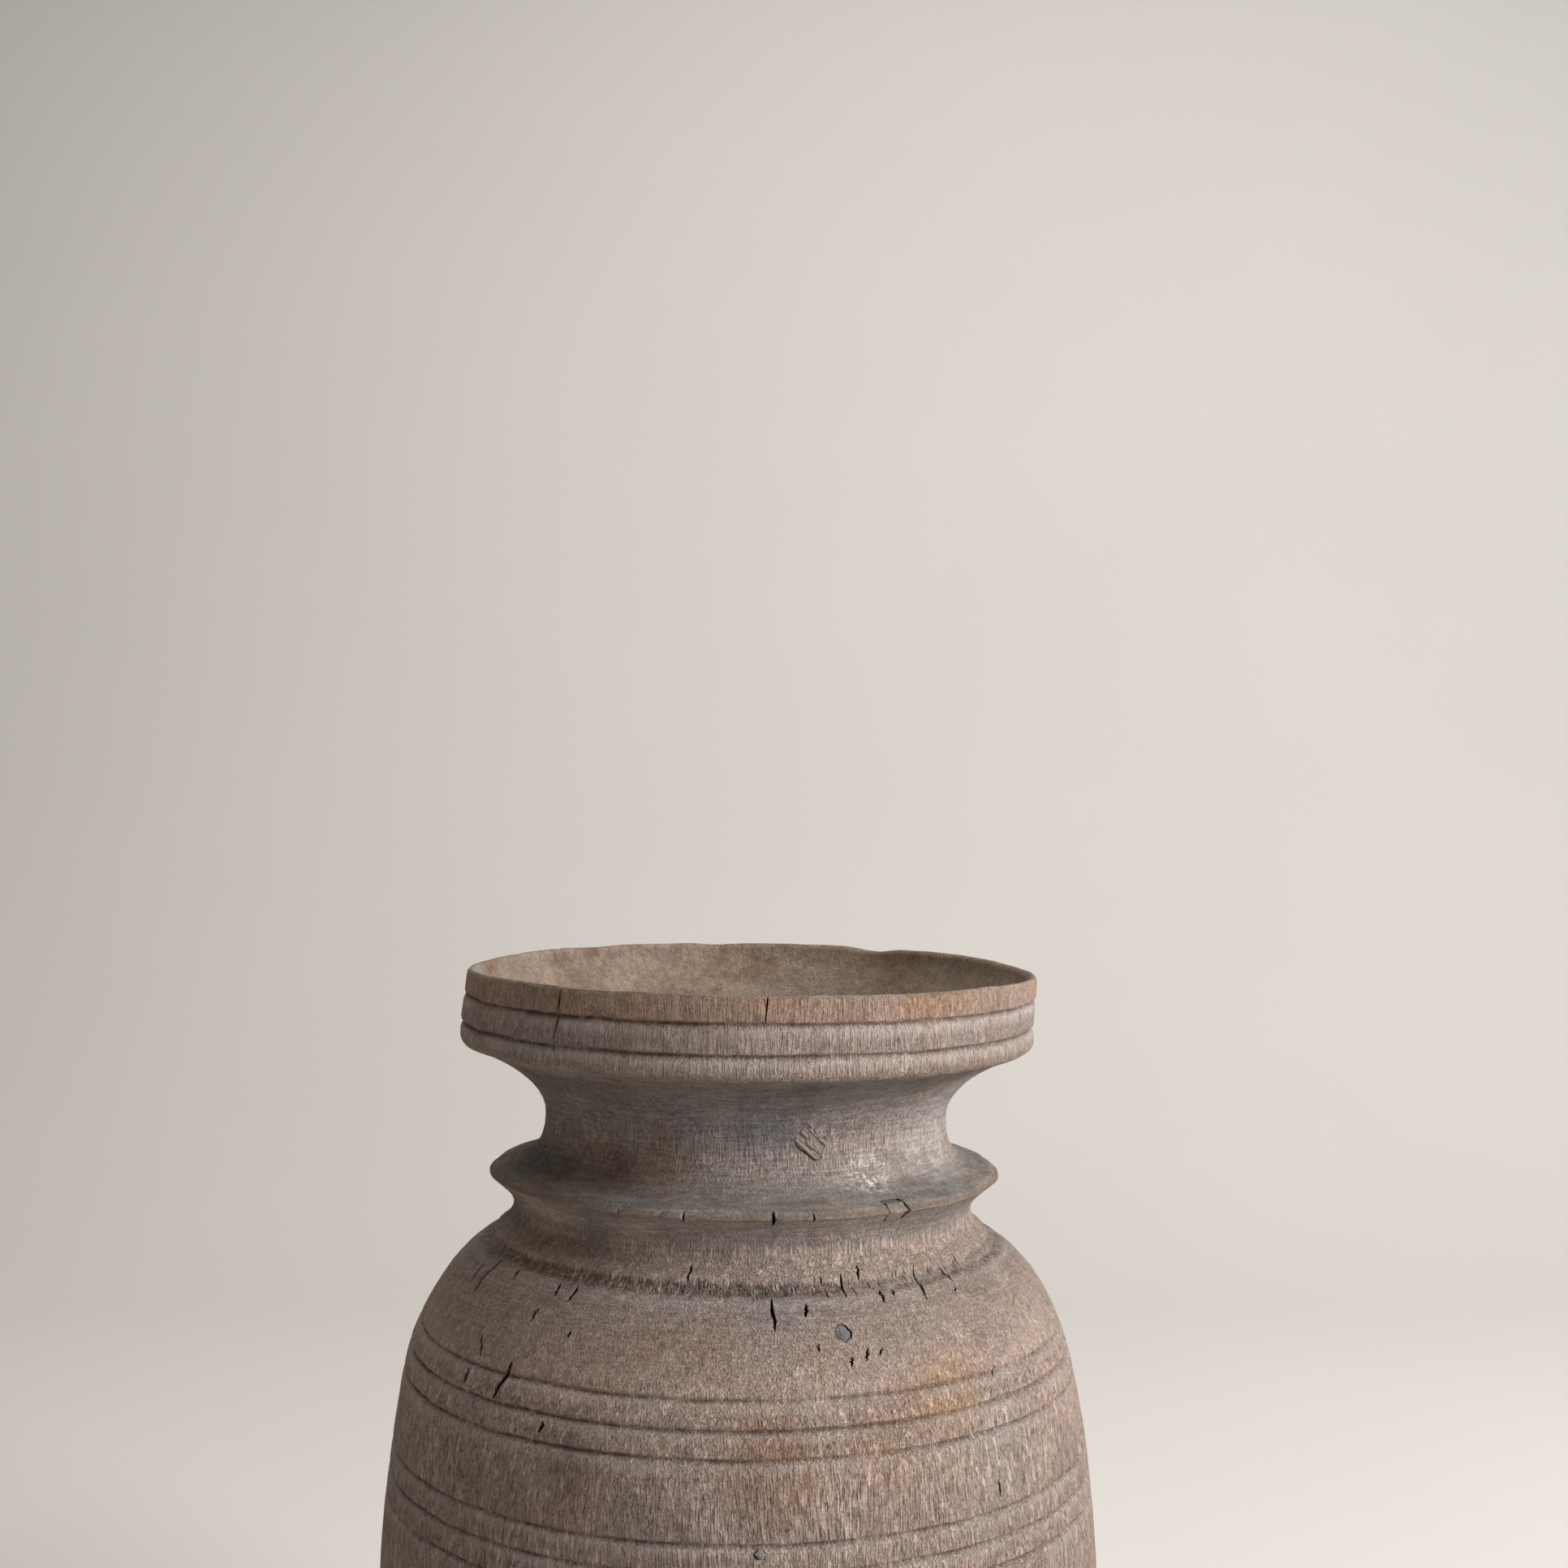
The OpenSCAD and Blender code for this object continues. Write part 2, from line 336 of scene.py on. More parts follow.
def wear(points, drop, angle):
    """Distance in metres that each outside point stands out, and its masks for the material."""
    broad = noise(points * 34, 1) * 0.3 + noise(points * 90, 2) * 0.12 - 0.15
    fine = noise(points * np.array([420, 420, 160]), 3) * 0.06
    out = broad + fine
    out = out - 0.35 * np.clip((drop - 95) / 15, 0, 1)
    crease = np.zeros_like(out)
    chalk = np.zeros_like(out)
    for i, middle in enumerate(RIM_GROOVES + BELLY_GROOVES):
        on_rim = middle in RIM_GROOVES
        depth, slope, fading = (1.6, 2.9, 0.3) if on_rim else (1.25, 2.6, 0.34)
        cut, shape = groove_cut(drop, middle, depth, slope, angle, 40 + 5 * i, fading)
        out = out - cut
        # crease: painted shade in each groove, full on its steep upper wall and weaker down its
        # slope
        crease = np.maximum(crease, np.where(drop - middle < 0.8, shape, shape * 0.35)
                            * (1.0 if on_rim else 0.82))
        chalk = np.maximum(chalk, bump(drop, middle + 2.0, 1.7) if on_rim
                           else 0.85 * bump(drop, middle + 1.9, 1.6))
    ticks = noise(points * np.array([520, 520, 60]), 5)
    ragged = 0.45 * noise(points * np.array([300, 300, 0]), 4)
    t = drop - SHOULDER_GROOVE + ragged
    shape = np.where(t < 0, np.clip(1 + t / 0.8, 0, 1), np.clip(1 - (t - 2.2) / 1.6, 0, 1))
    out = out - shape * (1.35 + 0.6 * ticks)
    fresh = 0.25 + 0.75 * np.clip(1 - np.abs(turn_from(angle, -24) / 54) ** 3, 0, 1)
    fresh = np.maximum(fresh, 0.6 * bump(turn_from(angle, 160), 0, 60))
    # torn: the torn groove's recess, darkened in the material as torn wood and as painted shade
    torn = np.where(t < 3.4, shape, shape * 0.4) * fresh
    chalk = np.maximum(chalk, 0.5 * bump(t, 5.4, 1.8))
    for ledge, half in ((6.6, 1.7), (10.6, 2.0), (15.0, 2.4), (-6.0, 2.0)):
        out = out + 0.26 * bump(t, ledge, half) * (0.7 + 0.6 * noise(points * 12, 6))
    collar = bump(drop, COLLAR_DROP, 2.2)
    out = out + collar * (0.3 * noise(points * 120, 7) - 0.25 * np.abs(noise(points * 420, 8)))
    for bearing, width, depth in COLLAR_SPLITS:
        out = out - collar * depth * 0.16 * bump(turn_from(angle, bearing), 0.4, 0.5 + width * 0.4)
    neck = KNOTS["neck_knot"]
    near = bump(turn_from(angle, neck["at"]), 0, 8) * bump(drop, neck["drop"], 10)
    out = out + near * (0.2 + 0.35 * noise(points * np.array([300, 300, 520]), 9))
    edge = np.clip((0.95 - np.abs(drop - COLLAR_DROP - 0.15)) / 0.3, 0, 1)
    # under: painted shade just below the collar's edge, laid into crease
    under = np.clip((drop - COLLAR_DROP - 1.0) / 0.5, 0, 1)
    under = under * np.clip((7 - drop + COLLAR_DROP) / 5, 0, 1)
    crease = np.maximum(crease, 0.45 * under)
    return out * MM, {"crease": crease, "chalk": chalk, "edge": edge, "torn": torn}


def closed_mesh(name, points, start, end):
    """Joins ring rows into one closed skin, with a middle point at each end."""
    rows, count = points.shape[:2]
    verts = np.concatenate([points.reshape(-1, 3), [start, end]])
    ring = np.arange(count)
    after = (ring + 1) % count
    faces = []
    for row in range(rows - 1):
        a, b = row * count, (row + 1) * count
        faces.append(np.stack([a + ring, a + after, b + after, b + ring], 1))
    quads = np.concatenate(faces).tolist()
    first, last, tail = rows * count, rows * count + 1, (rows - 1) * count
    tris = [(first, int(j), int(i)) for i, j in zip(ring, after)]
    tris += [(last, int(tail + i), int(tail + j)) for i, j in zip(ring, after)]
    mesh = bpy.data.meshes.new(name)
    mesh.from_pydata(verts.tolist(), [], quads + tris)
    return add_object(name, mesh)


def give_attribute(obj, name, values):
    """Stores one number per point, for the material to read."""
    layer = obj.data.attributes.new(name, "FLOAT", "POINT")
    layer.data.foreach_set("value", np.asarray(values, np.float32).ravel())


class Wall:
    """The worn outside, as rows of points that knots and splits can be placed on."""

    def __init__(self):
        self.angle = column_bearings()
        self.r, z, self.normal = wall_rows()
        self.drop = (top_z - z) / MM
        flat = rings_to_points(self.angle, self.r[:, None], z[:, None])
        angle = np.broadcast_to(self.angle, flat.shape[:2])
        drop = np.broadcast_to(self.drop[:, None], flat.shape[:2])
        out, self.masks = wear(flat, drop, angle)
        out = out * np.clip(z / (4 * MM), 0, 1)[:, None]
        worn_r = self.r[:, None] + out * self.normal[:, :1]
        worn_z = z[:, None] + out * self.normal[:, 1:]
        worn_z = worn_down(worn_z, lip_height(self.angle)[None, :])
        self.points = rings_to_points(self.angle, worn_r, worn_z)

    def across_rows(self, drop, values):
        """A value at a drop, from one value per row."""
        return np.interp(drop, self.drop[::-1], values[::-1])

    def at(self, bearing, drop, out=0.0):
        """A point at a bearing and drop, standing out from the plain wall by out mm."""
        normal = np.array([self.across_rows(drop, self.normal[:, i]) for i in (0, 1)])
        normal /= np.linalg.norm(normal)
        r = self.across_rows(drop, self.r) + out * MM * normal[0]
        return settle(at_bearing(bearing, r, up(drop) + out * MM * normal[1]))


# ---------------- cutters


def join_rings(mesh, rings):
    """Fills the skin between each ring of points and the next."""
    count = len(rings[0])
    for a, b in zip(rings, rings[1:]):
        for i in range(count):
            j = (i + 1) % count
            mesh.faces.new((a[i], a[j], b[j], b[i]))


def add_wedge(mesh, stations):
    """Adds one closed wedge to a cutter: each station is its two upper edges and its tip.

    The cutter's "cut" layer is 1 at the tips, so that the cut faces know how deep they are and the
    material paints shade on them by that depth.
    """
    deep = mesh.verts.layers.float["cut"]
    rings = [[mesh.verts.new(p) for p in station] for station in stations]
    for ring in rings:
        ring[2][deep] = 1.0
    join_rings(mesh, rings)
    mesh.faces.new((rings[0][2], rings[0][1], rings[0][0]))
    mesh.faces.new(rings[-1])


def split_on_wall(mesh, wall, a0, d0, a1, d1, width, depth, jitter=0.25, steps=7):
    """A drying split along the wall from one bearing and drop to another."""
    stations = []
    for i in range(steps):
        t = i / (steps - 1)
        drop = d0 + (d1 - d0) * t
        bearing = a0 + (a1 - a0) * t + jitter * rng.uniform(-1, 1) * (0 < i < steps - 1)
        open_to = width * (0.12 + 0.88 * sin(pi * min(max(t, 0.04), 0.96)) ** 0.7)
        top = wall.at(bearing, drop, 0.6)
        tip = wall.at(bearing, drop, -depth * (0.35 + 0.65 * sin(pi * t) ** 0.5))
        across = directions(bearing)[1] * open_to * MM / 2
        stations.append((top - across, top + across, tip))
    add_wedge(mesh, stations)


def rim_split(mesh, bearing, foot_drop, width, through=4.4):
    """A split that opens at the lip and runs down the rim band."""
    stations = []
    out, across = directions(bearing)
    for i in range(7):
        t = i / 6
        drop = -4 + (foot_drop + 4) * t
        open_to = width * (1 - 0.75 * t ** 2) * (1 + 0.25 * rng.uniform(-1, 1))
        middle = np.array([0, 0, up(drop)]) + across * rng.uniform(-0.15, 0.15) * MM
        outer = middle + out * (RIM_R + 1.6) * MM
        tip = middle + out * (RIM_R - through * (1 - 0.6 * t)) * MM
        side = across * open_to * MM / 2
        stations.append([settle(p) for p in (outer - side, outer + side, tip)])
    add_wedge(mesh, stations)


def collar_split(mesh, bearing, width, depth):
    """A split across the collar's thin edge."""
    out, across = directions(bearing)
    stations = []
    for i in range(5):
        t = i / 4
        middle = np.array([0, 0, up(COLLAR_DROP - 4.5 + 9 * t)])
        middle = middle + across * (t - 0.5) * rng.uniform(-0.6, 0.6) * MM
        side = across * width * (0.5 + 0.6 * sin(pi * t)) * MM / 2
        outer = middle + out * (COLLAR_R + 1.2 * MM)
        tip = middle + out * (COLLAR_R - depth * MM)
        stations.append([settle(p) for p in (outer - side, outer + side, tip)])
    add_wedge(mesh, stations)


def knot_outline(knot, turn, opening):
    """Distance out from a knot's middle, in mm, across and up, at an angle round it.

    opening is 0 on the knot itself and 1 on the wall of its socket.
    """
    spot = np.array([cos(turn) * 1.9, sin(turn) * 1.9, knot["at"]])
    ragged = 1 + 0.14 * float(noise(spot, 60)) + 0.06 * float(noise(spot * 3, 61))
    ragged += knot["corner"] * 0.25 * cos(4 * turn)
    side = max(0.0, cos(turn - radians(knot["open_side"]))) ** 2
    gap = opening * (knot["gap"] + knot["wide"] * side)
    x = (knot["w"] * ragged + gap) * cos(turn)
    y = (knot["h"] * ragged + gap) * sin(turn)
    return x - knot["lean"] * y * 0.5, y


def knot_ring(wall, knot, scale, out, opening, count, inner_r=None):
    """One ring of a knot's surface: on the wall, or at radius inner_r inside it."""
    ring = []
    middle_r = wall.across_rows(knot["drop"], wall.r) / MM
    for i in range(count):
        x, y = knot_outline(knot, 2 * pi * i / count, opening)
        x, y = x * scale, y * scale
        bearing = knot["at"] + np.degrees(x / middle_r)
        if inner_r is None:
            ring.append(wall.at(bearing, knot["drop"] - y, out))
        else:
            middle = at_bearing(knot["at"], inner_r, up(knot["drop"]) / MM)
            p = middle + directions(knot["at"])[1] * x + np.array([0, 0, y])
            ring.append(settle(p * MM))
    return np.array(ring)


def collar_slices(wall, out, inner_r, left, right, count, rough=0.0):
    """Cross-sections of the collar from one side of its knot to the other.

    The knot (rough > 0) runs a little further along the wall than its socket,
    just under the skin, so that only the two sides of the socket gape.
    """
    k = COLLAR_KNOT
    steps = np.array([-1.5, -1.4, -1.2, -1.05, -0.9, -0.75, -0.6, -0.3, 0.1, 0.5, 0.85, 1.2,
                      2.0, 3.0, 3.9, 4.2])
    if rough:
        steps = steps * 1.2
    rings = []
    for i in range(count):
        t = i / (count - 1)
        ring = []
        for step in steps:
            bulge = 1 + 0.42 * float(bump(step, 0.6, 4.6)) * (t > 0.5)
            bearing = k["at"] - (k["half"] + left) * (1 - t) + (k["half"] * bulge + right) * t
            lift = out
            if rough:
                ends = float(np.clip((step + 1.65) / 0.6, 0, 1) * np.clip((4.1 - step) / 1.2, 0, 1))
                flakes = rough * float(noise(np.array([bearing * 1.6, step * 0.7, 3.3]), 72))
                edges = rough * (1 - min(t, 1 - t) * 2) ** 4
                lift = (lift + flakes - edges) * ends + 0.07 * (1 - ends)
                if step < -1.75 or step > 4.9:  # its first and last rows tuck under the skin
                    lift = -0.2
            ring.append(wall.at(bearing, COLLAR_DROP + step, lift))
        back = k["at"] + (2 * t - 1) * (k["half"] + (left + right) / 2) * 0.9
        for step in (3.4, 0.4, -2.6):
            ring.append(settle(at_bearing(back, inner_r, up(COLLAR_DROP + step) / MM) * MM))
        rings.append(np.array(ring))
    return rings


def add_tube(mesh, rings, depths=None):
    """Adds a closed plug to a bmesh, from rings of points and a middle at each end.

    A cutter's plug also gives how deep each of its rings, or each point of a ring, lies, for the
    painted shade in its socket.
    """
    made = [[mesh.verts.new(p) for p in ring] for ring in rings]
    if depths is not None:
        deep = mesh.verts.layers.float["cut"]
        for ring, ring_depths in zip(made, depths):
            for vert, depth in zip(ring, np.broadcast_to(ring_depths, len(ring))):
                vert[deep] = float(depth)
    join_rings(mesh, made)
    for ring, end in ((made[0], rings[0]), (made[-1], rings[-1])):
        middle = mesh.verts.new(np.mean(end, axis=0))
        for i, vert in enumerate(ring):
            mesh.faces.new((vert, ring[(i + 1) % len(ring)], middle))


def mesh_object(name, mesh):
    """Turns a bmesh into a linked object with its faces pointing out."""
    bmesh.ops.recalc_face_normals(mesh, faces=mesh.faces)
    data = bpy.data.meshes.new(name)
    mesh.to_mesh(data)
    mesh.free()
    return add_object(name, data)


def carve(obj, cutter):
    """Cuts the cutter's wedges and sockets out of obj and throws the cutter away."""
    cut = obj.modifiers.new("carve", "BOOLEAN")
    cut.object, cut.operation, cut.solver = cutter, "DIFFERENCE", "MANIFOLD"
    bpy.context.view_layer.update()
    result = bpy.data.meshes.new_from_object(obj.evaluated_get(
        bpy.context.evaluated_depsgraph_get()))
    obj.modifiers.remove(cut)
    old, obj.data = obj.data, result
    result.materials.clear()
    result.polygons.foreach_set("material_index", np.zeros(len(result.polygons), np.int32))
    bpy.data.meshes.remove(old)
    bpy.data.objects.remove(cutter)


def smooth(obj, sharp_over):
    """Shades obj smooth, but for edges that turn by more than sharp_over degrees."""
    obj.data.shade_smooth()
    obj.data.set_sharp_from_angle(angle=radians(sharp_over))


# ---------------- pieces


def build_vessel(wall):
    """The turning: worn outside, rounded lip and plain hollow in one closed skin."""
    outside = wall.points
    r, z = (v[:, None] for v in hollow_rows())
    inside = rings_to_points(wall.angle, r, z)
    soft = (noise(inside * 30, 11) * 0.35 + noise(inside * 110, 12) * 0.12) * MM
    soft *= np.clip((inside[..., 2] - up(70)) / (50 * MM), 0.15, 1)
    low = lip_height(wall.angle)[None, :]
    inside = rings_to_points(wall.angle, r + soft, worn_down(z, low))
    (out_r, out_z), (in_r, in_z) = [(np.hypot(ring[:, 0], ring[:, 1]), ring[:, 2])
                                    for ring in (outside[-1], inside[0])]
    crown = []
    for turn in np.linspace(0.1, 0.9, 5) * pi:
        t = (1 - cos(turn)) / 2
        rise = sin(turn) * LIP_ROUND * MM
        crown.append(rings_to_points(wall.angle, out_r + (in_r - out_r) * t,
                                     out_z + (in_z - out_z) * t + rise))
    points = settle(np.concatenate([outside, *crown, inside]))
    obj = closed_mesh("vessel_wood", points, (0, 0, 0), (0, 0, cad_floor_z()))
    spare = np.zeros((points.shape[0] - outside.shape[0], len(wall.angle)))
    for name, mask in wall.masks.items():
        give_attribute(obj, name, np.concatenate([mask.ravel(), spare.ravel(), [0, 0]]))
    hollow = np.concatenate([np.zeros(outside.shape[:2]), spare + 1])
    give_attribute(obj, "hollow", np.concatenate([hollow.ravel(), [0, 1]]))
    give_attribute(obj, "cut", np.zeros(len(obj.data.vertices)))
    return obj


def torn_ticks(mesh, wall):
    """Short torn fibres along the shoulder groove and loose checks over the belly."""
    for bearing in np.arange(-180, 180, 0.95):
        start = SHOULDER_GROOVE + rng.uniform(-1.4, 0.8)
        length = rng.uniform(1.8, 4.2)
        b = bearing + rng.uniform(-0.3, 0.3)
        if min(abs(turn_from(b, s[0])) for s in SHOULDER_SPLITS) < 0.9:
            continue
        split_on_wall(mesh, wall, b, start, b + rng.uniform(-0.3, 0.3), start + length,
                      rng.uniform(0.6, 1.1), rng.uniform(2.4, 3.6), 0.08, 4)
    taken = [(s[0], s[1]) for s in SHOULDER_SPLITS]
    taken += [(k["at"], k["drop"]) for k in KNOTS.values()]
    for _ in range(190):
        b, start = rng.uniform(-180, 180), rng.uniform(104, 245)
        if any(abs(turn_from(b, t[0])) < 3.5 and abs(start - t[1]) < 16 for t in taken):
            continue
        taken.append((b, start))
        split_on_wall(mesh, wall, b, start, b + rng.uniform(-0.3, 0.3),
                      start + rng.uniform(1.5, 4.5), rng.uniform(0.3, 0.6),
                      rng.uniform(0.7, 1.4), 0.08, 4)


def build_cutter(wall):
    """Every split, torn fibre and knot socket as one closed cutter."""
    mesh = bmesh.new()
    mesh.verts.layers.float.new("cut")
    for a0, d0, a1, d1, width in SHOULDER_SPLITS:
        wide = (0.7 + width * 1.3) * (1.0 if a0 > -28 else 1.45)
        split_on_wall(mesh, wall, a0, d0, a1, d1, wide, 3.2 + 1.8 * width)
    for bearing, foot, width in RIM_SPLITS:
        rim_split(mesh, bearing, foot, width)
    for bearing, width, depth in COLLAR_SPLITS:
        collar_split(mesh, bearing, width, depth)
    torn_ticks(mesh, wall)
    for knot in KNOTS.values():
        rings = [knot_ring(wall, knot, 0.78, 0, 0, 48, knot["inner"] - 0.6),
                 knot_ring(wall, knot, 1.0, -2.2, 0.6, 48),
                 knot_ring(wall, knot, 1.0, 2.0, 1.0, 48)]
        add_tube(mesh, rings, (1, 1, 0))
    k = COLLAR_KNOT
    left, right = (np.degrees(k[side] / k["gap_r"]) for side in ("left_gap", "right_gap"))
    block = collar_slices(wall, 0.45, k["inner"] - 0.6, left, right, 7)
    add_tube(mesh, block, [[0] * (len(block[0]) - 3) + [1] * 3] * len(block))
    return mesh_object("cutter", mesh)


def build_knot(wall, name, knot, count=96, rows=22):
    """A dead knot: a rough, slightly sunken face on a plug that narrows as it goes in."""
    mesh = bmesh.new()
    middle = wall.at(knot["at"], knot["drop"], 0)
    middle_r = np.hypot(middle[0], middle[1]) / MM
    rings = [knot_ring(wall, knot, 0.72, 0, 0, count, knot["inner"]),
             knot_ring(wall, knot, 0.9, 0, 0, count, knot["inner"] * 0.4 + 0.6 * middle_r),
             knot_ring(wall, knot, 1.0, -1.4 - knot["sunk"], 0, count)]
    for row in range(rows):
        scale = cos(pi / 2 * row / rows)
        edge = knot_ring(wall, knot, scale, 0, 0, count)
        flakes = noise((edge - middle) @ flake_frame(knot) * 1000, 70)
        grain = noise((edge - middle) * 2600, 71)
        cracks = np.exp(-(flakes / 0.1) ** 2)
        ring = []
        for i in range(count):
            x, y = knot_outline(knot, 2 * pi * i / count, 0)
            bearing = knot["at"] + np.degrees(x * scale / middle_r)
            out = -knot["sunk"] - 0.2 * scale ** 8
            out += knot["rough"] * (flakes[i] + 0.3 * grain[i] - 1.1 * cracks[i])
            ring.append(wall.at(bearing, knot["drop"] - y * scale, out))
        rings.append(np.array(ring))
    add_tube(mesh, rings)
    obj = mesh_object(name + "_wood", mesh)
    smooth(obj, sharp_over=40)
    return obj


def build_collar_knot(wall):
    """The knot in the collar: a block as thick as the collar, with a rough end."""
    mesh = bmesh.new()
    k = COLLAR_KNOT
    add_tube(mesh, collar_slices(wall, -k["sunk"], k["inner"], 0, 0, 25, rough=0.3))
    obj = mesh_object("flange_knot_wood", mesh)
    smooth(obj, sharp_over=40)
    return obj


def flake_frame(knot):
    """Scales that stretch a knot's flakes along a slant across its face."""
    slant = radians(42)
    out, across = directions(knot["at"])
    along = across * cos(slant) + np.array([0, 0, -1]) * sin(slant)
    side = across * sin(slant) + np.array([0, 0, 1]) * cos(slant)
    return np.stack([along * 0.22, side * 0.85, out * 0.3], 1)


# ---------------- materials


class Nodes:
    """Short names for building a material's nodes."""

    def __init__(self, name):
        self.material = bpy.data.materials.new(name)
        self.material.use_nodes = True
        self.tree = self.material.node_tree
        self.shader = self.tree.nodes["Principled BSDF"]
        self.place = self.tree.nodes.new("ShaderNodeTexCoord").outputs["Object"]

    def link(self, value, socket):
        """Joins a socket to value, or sets it to value when that is a number or colour."""
        if isinstance(value, bpy.types.NodeSocket):
            self.tree.links.new(value, socket)
        elif value is not None:
            socket.default_value = value

    def node(self, kind, **values):
        """A new node with its inputs linked or set by name, with _ for each space."""
        node = self.tree.nodes.new("ShaderNode" + kind)
        for name, value in values.items():
            self.link(value, node.inputs[name.replace("_", " ")])
        return node

    def math(self, operation, a, b=None, kind="Math"):
        node = self.node(kind)
        node.operation = operation
        gives_vector = kind == "VectorMath" and operation != "DISTANCE"
        self.link(a, node.inputs[0])
        self.link(b, node.inputs[1])
        return node.outputs["Vector" if gives_vector else "Value"]

    def times(self, a, b):
        return self.math("MULTIPLY", a, b)

    def vector(self, operation, a, b):
        return self.math(operation, a, b, "VectorMath")

    def noise(self, stretch, detail=2.0, rough=0.5, offset=0.0, place=None):
        """Smooth noise from 0 to 1 whose features per metre are stretch = (x, y, z)."""
        at = self.vector("MULTIPLY", place or self.place, stretch)
        at = self.vector("ADD", at, (offset, offset * 0.7, offset * 1.3))
        node = self.node("TexNoise", Scale=1.0, Detail=detail, Roughness=rough, Vector=at)
        return node.outputs["Fac"]

    def noise_colour(self, scale, detail):
        """Three separate noises as one vector, for drifting coordinates."""
        node = self.node("TexNoise", Scale=scale, Detail=detail, Vector=self.place)
        return node.outputs["Color"]

    def shaken(self, scale, detail, reach):
        """Place moved by up to reach metres, to give ragged outlines."""
        return self.vector("ADD", self.place,
                           self.vector("MULTIPLY", self.noise_colour(scale, detail), (reach,) * 3))

    def remap(self, value, low, high, to_low=0.0, to_high=1.0):
        """A smooth step from to_low to to_high while value goes from low to high."""
        node = self.node("MapRange", Value=value, From_Min=low, From_Max=high,
                         To_Min=to_low, To_Max=to_high)
        node.interpolation_type = "SMOOTHSTEP"
        return node.outputs[0]

    def mix(self, amount, a, b, kind="MIX"):
        node = self.node("Mix")
        node.data_type, node.blend_type = "RGBA", kind
        for value, socket in ((amount, node.inputs[0]), (a, node.inputs[6]), (b, node.inputs[7])):
            self.link(value + (1.0,) if isinstance(value, tuple) else value, socket)
        return node.outputs[2]

    def tinted(self, colour, noise, low, high, amount, tint):
        """Lays up to amount of a tint over a colour as a noise goes from low to high."""
        return self.mix(self.remap(noise, low, high, 0.0, amount), colour, tint)

    def grained(self, colour, amount, shade, dark, light):
        """Darkens a colour where shade is 0 and lightens it where shade is 1."""
        return self.mix(amount, colour, self.mix(shade, dark, light), "OVERLAY")

    def attribute(self, name):
        node = self.node("Attribute")
        node.attribute_name = name
        return node.outputs["Fac"]

    def height(self):
        return self.node("SeparateXYZ", Vector=self.place).outputs["Z"]

    def ramp(self, value, stops):
        node = self.node("ValToRGB")
        stops = sorted(stops)
        while len(node.color_ramp.elements) < len(stops):
            node.color_ramp.elements.new(0.5)
        for element, (where, colour) in zip(node.color_ramp.elements, stops):
            element.position, element.color = where, colour + (1.0,)
        self.link(value, node.inputs[0])
        return node.outputs[0]

    def relief(self, height, distance, strength=1.0, under=None):
        """Bumps distance metres high, on top of the ones under them."""
        node = self.node("Bump", Distance=distance, Strength=strength, Height=height, Normal=under)
        return node.outputs[0]

    def finish(self, colour, normal, roughness, gloss):
        self.link(colour, self.shader.inputs["Base Color"])
        self.link(normal, self.shader.inputs["Normal"])
        self.shader.inputs["Roughness"].default_value = roughness
        self.shader.inputs["Specular IOR Level"].default_value = gloss
        return self.material


# The outside's colour by how far it is below the lip in mm: warm handled rim, painted
# shade under the rim, greyed neck and collar, then pinkish tan where the sun and sand reached.
BAND_COLOURS = [
    (0, (0.31, 0.205, 0.145)), (8.5, (0.315, 0.21, 0.15)), (10.5, (0.285, 0.226, 0.2)),
    (18.5, (0.285, 0.224, 0.2)), (20.5, (0.315, 0.252, 0.22)), (25, (0.3, 0.235, 0.19)),
    # 28 to 44 mm: painted shade under the rim's overhang, darkest at 30 mm and fading down the neck
    (28, (0.26, 0.2, 0.16)), (30, (0.125, 0.106, 0.093)), (37, (0.165, 0.145, 0.134)),
    (44, (0.255, 0.226, 0.212)), (56, (0.33, 0.28, 0.256)), (61.5, (0.315, 0.272, 0.25)),
    (65.5, (0.235, 0.214, 0.197)), (69, (0.205, 0.19, 0.175)),
    (72.4, (0.185, 0.175, 0.162)), (75.6, (0.2, 0.165, 0.145)),
    (80, (0.215, 0.19, 0.18)), (86, (0.255, 0.217, 0.195)), (90, (0.39, 0.31, 0.268)),
    (95, (0.395, 0.31, 0.266)), (100.5, (0.3, 0.25, 0.225)), (108, (0.315, 0.25, 0.215)),
    (118, (0.335, 0.262, 0.222)), (128, (0.42, 0.32, 0.27)), (148, (0.42, 0.32, 0.27)),
    (165, (0.355, 0.272, 0.23)), (230, (0.345, 0.262, 0.22)), (330, (0.31, 0.235, 0.193)),
    (380, (0.25, 0.19, 0.155)),
]

# How clearly the lathe's own level lines show, by how far below the lip in mm.
TURNED = [
    (0, 0.0), (27, 0.1), (31, 0.8), (72, 0.9), (78, 0.9), (88, 0.35), (95, 0.2), (100, 0.8),
    (112, 0.45), (120, 0.05), (380, 0.05),
]

# How clearly the upright fibres stand out, in the same way.
STRINGY = [
    (0, 0.44), (27, 0.6), (31, 0.35), (50, 0.55), (61, 0.5), (66, 0.2), (72, 0.12), (80, 0.2),
    (90, 0.75), (100, 0.5), (124, 0.55), (132, 0.95), (380, 1.0),
]

